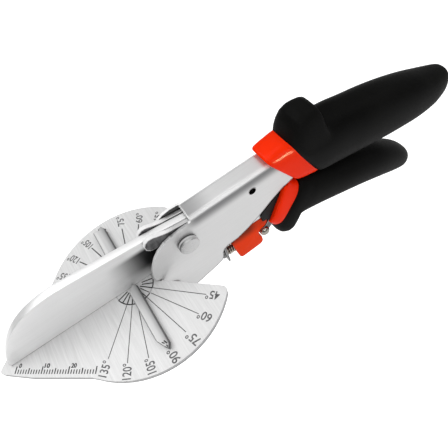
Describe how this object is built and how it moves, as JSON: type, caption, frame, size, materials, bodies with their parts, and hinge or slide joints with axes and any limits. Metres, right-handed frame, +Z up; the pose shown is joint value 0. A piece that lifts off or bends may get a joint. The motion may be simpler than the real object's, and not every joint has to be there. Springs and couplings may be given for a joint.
{
  "type": "multi angle miter shears",
  "caption": "Hand shears that cut trim at an angle: a blade closes on a protractor plate with a turning fence, between two sprung handles held shut by a sliding latch.",
  "frame": {"origin": "middle of the bounding box; the protractor's centre, where the fence turns, is at (0.0496, 0, 0.00015)", "axes": "+X out along the blade to the nose, +Y towards the side of the plate with the millimetre ruler, +Z up out of the plate"},
  "size_m": [0.206, 0.069, 0.0694],
  "materials": {
    "brushed_plate": "fine diagonal brush",
    "satin_steel": "satin",
    "dark_steel": "blackened",
    "spring_steel": "drawn wire",
    "bronze": "sintered",
    "orange_plastic": "gloss",
    "black_plastic": "matt",
    "black_grip": "matt"
  },
  "bodies": {
    "frame": {"protractor_plate": "brushed_plate", "body_channel": "satin_steel", "jaw_bar": "dark_steel", "plate_screw_rear": "dark_steel", "plate_screw_front": "dark_steel", "jaw_rivet_upper": "satin_steel", "jaw_rivet_lower": "satin_steel", "pivot_bolt": "satin_steel", "pivot_nut": "satin_steel", "pivot_bush": "bronze", "upper_sleeve": "orange_plastic", "upper_grip": "black_grip"},
    "fence": {"turntable": "brushed_plate", "fence_arm_near": "brushed_plate", "fence_arm_far": "brushed_plate", "fence_pin_near": "dark_steel", "fence_pin_far": "dark_steel", "turntable_washer": "spring_steel", "turntable_screw": "dark_steel"},
    "lever": {"blade": "satin_steel", "lever_channel": "satin_steel", "blade_rivet_front": "dark_steel", "blade_rivet_rear": "dark_steel", "spring_pin": "dark_steel", "main_spring": "spring_steel", "latch_pin": "satin_steel", "latch_spring": "spring_steel", "lower_sleeve": "orange_plastic", "lower_grip": "black_grip", "lever_cover": "black_plastic"},
    "latch": {"latch_slider": "orange_plastic"}
  },
  "joints": [
    {"name": "fence_turn", "type": "hinge", "parent": "frame", "child": "fence", "pos_m": [0.0496, 0, 0.00015], "axis": [0, 0, 1], "range_deg": [-45, 45]},
    {"name": "lever_pivot", "type": "hinge", "parent": "frame", "child": "lever", "pos_m": [0.0253, 0, 0.01115], "axis": [0, -1, 0], "range_deg": [0, 28]},
    {"name": "latch_slide", "type": "slide", "parent": "lever", "child": "latch", "axis": [1, 0, 0], "range_m": [0, 0.002]}
  ]
}
